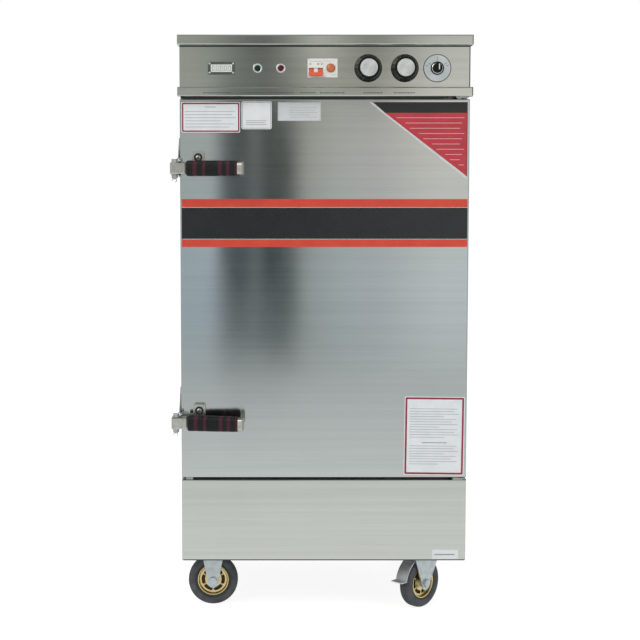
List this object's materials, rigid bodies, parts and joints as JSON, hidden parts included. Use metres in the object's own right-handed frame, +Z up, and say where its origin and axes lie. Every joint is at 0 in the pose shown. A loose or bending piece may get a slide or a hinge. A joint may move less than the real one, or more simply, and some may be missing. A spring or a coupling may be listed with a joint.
{
  "type": "rice steamer cabinet",
  "caption": "Upright steam cabinet on casters with a side-hinged insulated door, two lever latches, a control fascia, tray racks over a water tank, and service fittings at the back",
  "frame": {"origin": "on the floor under the middle of the cabinet", "axes": "+X to the right as seen from the front, +Y to the back, +Z up; the door and controls face -Y"},
  "size_m": [0.7245, 0.7491, 1.419],
  "materials": {
    "casing_steel": "fine brushed stainless sheet",
    "door_steel": "fine brushed stainless sheet, more polished",
    "inner_steel": "bright rolled stainless",
    "frame_steel": "zinc plated angle",
    "insulation": "pressed mineral wool",
    "door_foam": "rigid foam",
    "seal_rubber": "moulded silicone",
    "bronze": "sintered bronze",
    "zinc_steel": "bright zinc plate",
    "latch_steel": "satin nickel",
    "grip_plastic": "moulded with dark red bands",
    "black_plastic": "moulded",
    "meter_plastic": "moulded frame",
    "lens_green": "clear coloured",
    "lens_red": "clear coloured",
    "white_plastic": "moulded",
    "orange_plastic": "moulded",
    "amber_plastic": "moulded",
    "cap_aluminium": "spun, lacquered",
    "grey_plastic": "moulded",
    "heater_steel": "heat tinted",
    "brass": "turned",
    "pipe_steel": "drawn tube",
    "tray_aluminium": "pressed",
    "tyre_rubber": "worn tread",
    "rim_gold": "yellow passivated zinc"
  },
  "bodies": {
    "cabinet": {"outer_casing": "casing_steel", "inner_liner": "inner_steel", "insulation": "insulation", "front_frame": "inner_steel", "top_cover": "casing_steel", "control_floor": "frame_steel", "control_fascia": "casing_steel", "lower_front_panel": "casing_steel", "chassis": "frame_steel", "water_tank": "inner_steel", "baffle_plate": "inner_steel", "heating_elements": "heater_steel", "float_valve": "brass", "drain_valve": "brass", "steam_vent": "pipe_steel", "tray_racks": "inner_steel", "rice_trays": "tray_aluminium", "hinge_brackets": "zinc_steel", "latch_brackets": "zinc_steel", "panel_meter": "meter_plastic", "green_lamp": "lens_green", "red_lamp": "lens_red", "breaker_body": "white_plastic", "dial_bodies": "grey_plastic", "switch_plate": "cap_aluminium", "switchgear": "grey_plastic", "cable_gland": "grey_plastic", "rigid_caster_forks": "zinc_steel", "swivel_caster_plates": "zinc_steel"},
    "door": {"door_outer_skin": "door_steel", "door_inner_skin": "inner_steel", "door_insulation": "door_foam", "door_gasket": "seal_rubber", "hinge_bushes": "bronze", "keepers": "latch_steel"},
    "upper_latch": {"upper_latch_lever": "latch_steel", "upper_latch_grip": "grip_plastic"},
    "lower_latch": {"lower_latch_lever": "latch_steel", "lower_latch_grip": "grip_plastic"},
    "float": {"float_arm": "pipe_steel"},
    "drain_handle": {"drain_lever": "zinc_steel"},
    "breaker_handle": {"breaker_toggle": "orange_plastic"},
    "test_button": {"breaker_test_button": "amber_plastic"},
    "timer_dial": {"timer_knob": "black_plastic", "timer_knob_cap": "cap_aluminium"},
    "thermostat_dial": {"thermostat_knob": "black_plastic", "thermostat_knob_cap": "cap_aluminium"},
    "selector": {"switch_knob": "black_plastic"},
    "left_front_wheel": {"left_front_tyre": "tyre_rubber", "left_front_rim": "rim_gold"},
    "left_rear_wheel": {"left_rear_tyre": "tyre_rubber", "left_rear_rim": "rim_gold"},
    "right_front_wheel": {"right_front_tyre": "tyre_rubber", "right_front_rim": "rim_gold"},
    "right_rear_wheel": {"right_rear_tyre": "tyre_rubber", "right_rear_rim": "rim_gold"},
    "right_front_swivel": {"right_front_swivel_fork": "zinc_steel"},
    "right_front_brake": {"right_front_brake_pedal": "zinc_steel"},
    "right_rear_swivel": {"right_rear_swivel_fork": "zinc_steel"},
    "right_rear_brake": {"right_rear_brake_pedal": "zinc_steel"}
  },
  "joints": [
    {"name": "door_hinge", "type": "hinge", "parent": "cabinet", "child": "door", "pos_m": [0.325, -0.29, 0.8], "axis": [0, 0, 1], "range_deg": [0, 170]},
    {"name": "upper_latch_pivot", "type": "hinge", "parent": "cabinet", "child": "upper_latch", "pos_m": [-0.36, -0.341, 1.101], "axis": [0, 0, -1], "range_deg": [0, 120]},
    {"name": "lower_latch_pivot", "type": "hinge", "parent": "cabinet", "child": "lower_latch", "pos_m": [-0.36, -0.341, 0.486], "axis": [0, 0, -1], "range_deg": [0, 120]},
    {"name": "float_pivot", "type": "hinge", "parent": "cabinet", "child": "float", "pos_m": [-0.2, 0.173, 0.3225], "axis": [-1, 0, 0], "range_deg": [0, 15]},
    {"name": "drain_turn", "type": "hinge", "parent": "cabinet", "child": "drain_handle", "pos_m": [0, 0.331, 0.2378], "axis": [0, 0, 1], "range_deg": [0, 90]},
    {"name": "breaker_throw", "type": "hinge", "parent": "cabinet", "child": "breaker_handle", "pos_m": [-0.022, -0.306, 1.333], "axis": [-1, 0, 0], "range_deg": [0, 64]},
    {"name": "test_press", "type": "slide", "parent": "cabinet", "child": "test_button", "axis": [0, 1, 0], "range_m": [0, 0.002], "stiffness_N_per_m": 400},
    {"name": "timer_turn", "type": "hinge", "parent": "cabinet", "child": "timer_dial", "pos_m": [0.104, -0.305, 1.341], "axis": [0, 1, 0], "range_deg": [0, 300]},
    {"name": "thermostat_turn", "type": "hinge", "parent": "cabinet", "child": "thermostat_dial", "pos_m": [0.192, -0.305, 1.341], "axis": [0, 1, 0], "range_deg": [0, 270]},
    {"name": "selector_turn", "type": "hinge", "parent": "cabinet", "child": "selector", "pos_m": [0.27, -0.305, 1.341], "axis": [0, 1, 0], "range_deg": [-60, 60]},
    {"name": "left_front_roll", "type": "hinge", "parent": "cabinet", "child": "left_front_wheel", "pos_m": [-0.277, -0.21, 0.0625], "axis": [0, 1, 0], "continuous": true},
    {"name": "left_rear_roll", "type": "hinge", "parent": "cabinet", "child": "left_rear_wheel", "pos_m": [-0.277, 0.228, 0.0625], "axis": [0, 1, 0], "continuous": true},
    {"name": "right_front_turn", "type": "hinge", "parent": "cabinet", "child": "right_front_swivel", "pos_m": [0.27, -0.21, 0.14], "axis": [0, 0, 1], "continuous": true},
    {"name": "right_front_roll", "type": "hinge", "parent": "right_front_swivel", "child": "right_front_wheel", "pos_m": [0.24313, -0.23687, 0.0625], "axis": [0.7071, -0.7071, 0], "continuous": true},
    {"name": "right_front_brake_press", "type": "hinge", "parent": "right_front_swivel", "child": "right_front_brake", "pos_m": [0.22192, -0.25808, 0.127], "axis": [0.7071, -0.7071, 0], "range_deg": [0, 6]},
    {"name": "right_rear_turn", "type": "hinge", "parent": "cabinet", "child": "right_rear_swivel", "pos_m": [0.27, 0.228, 0.14], "axis": [0, 0, 1], "continuous": true},
    {"name": "right_rear_roll", "type": "hinge", "parent": "right_rear_swivel", "child": "right_rear_wheel", "pos_m": [0.24313, 0.20113, 0.0625], "axis": [0.7071, -0.7071, 0], "continuous": true},
    {"name": "right_rear_brake_press", "type": "hinge", "parent": "right_rear_swivel", "child": "right_rear_brake", "pos_m": [0.22192, 0.17992, 0.127], "axis": [0.7071, -0.7071, 0], "range_deg": [0, 6]}
  ]
}
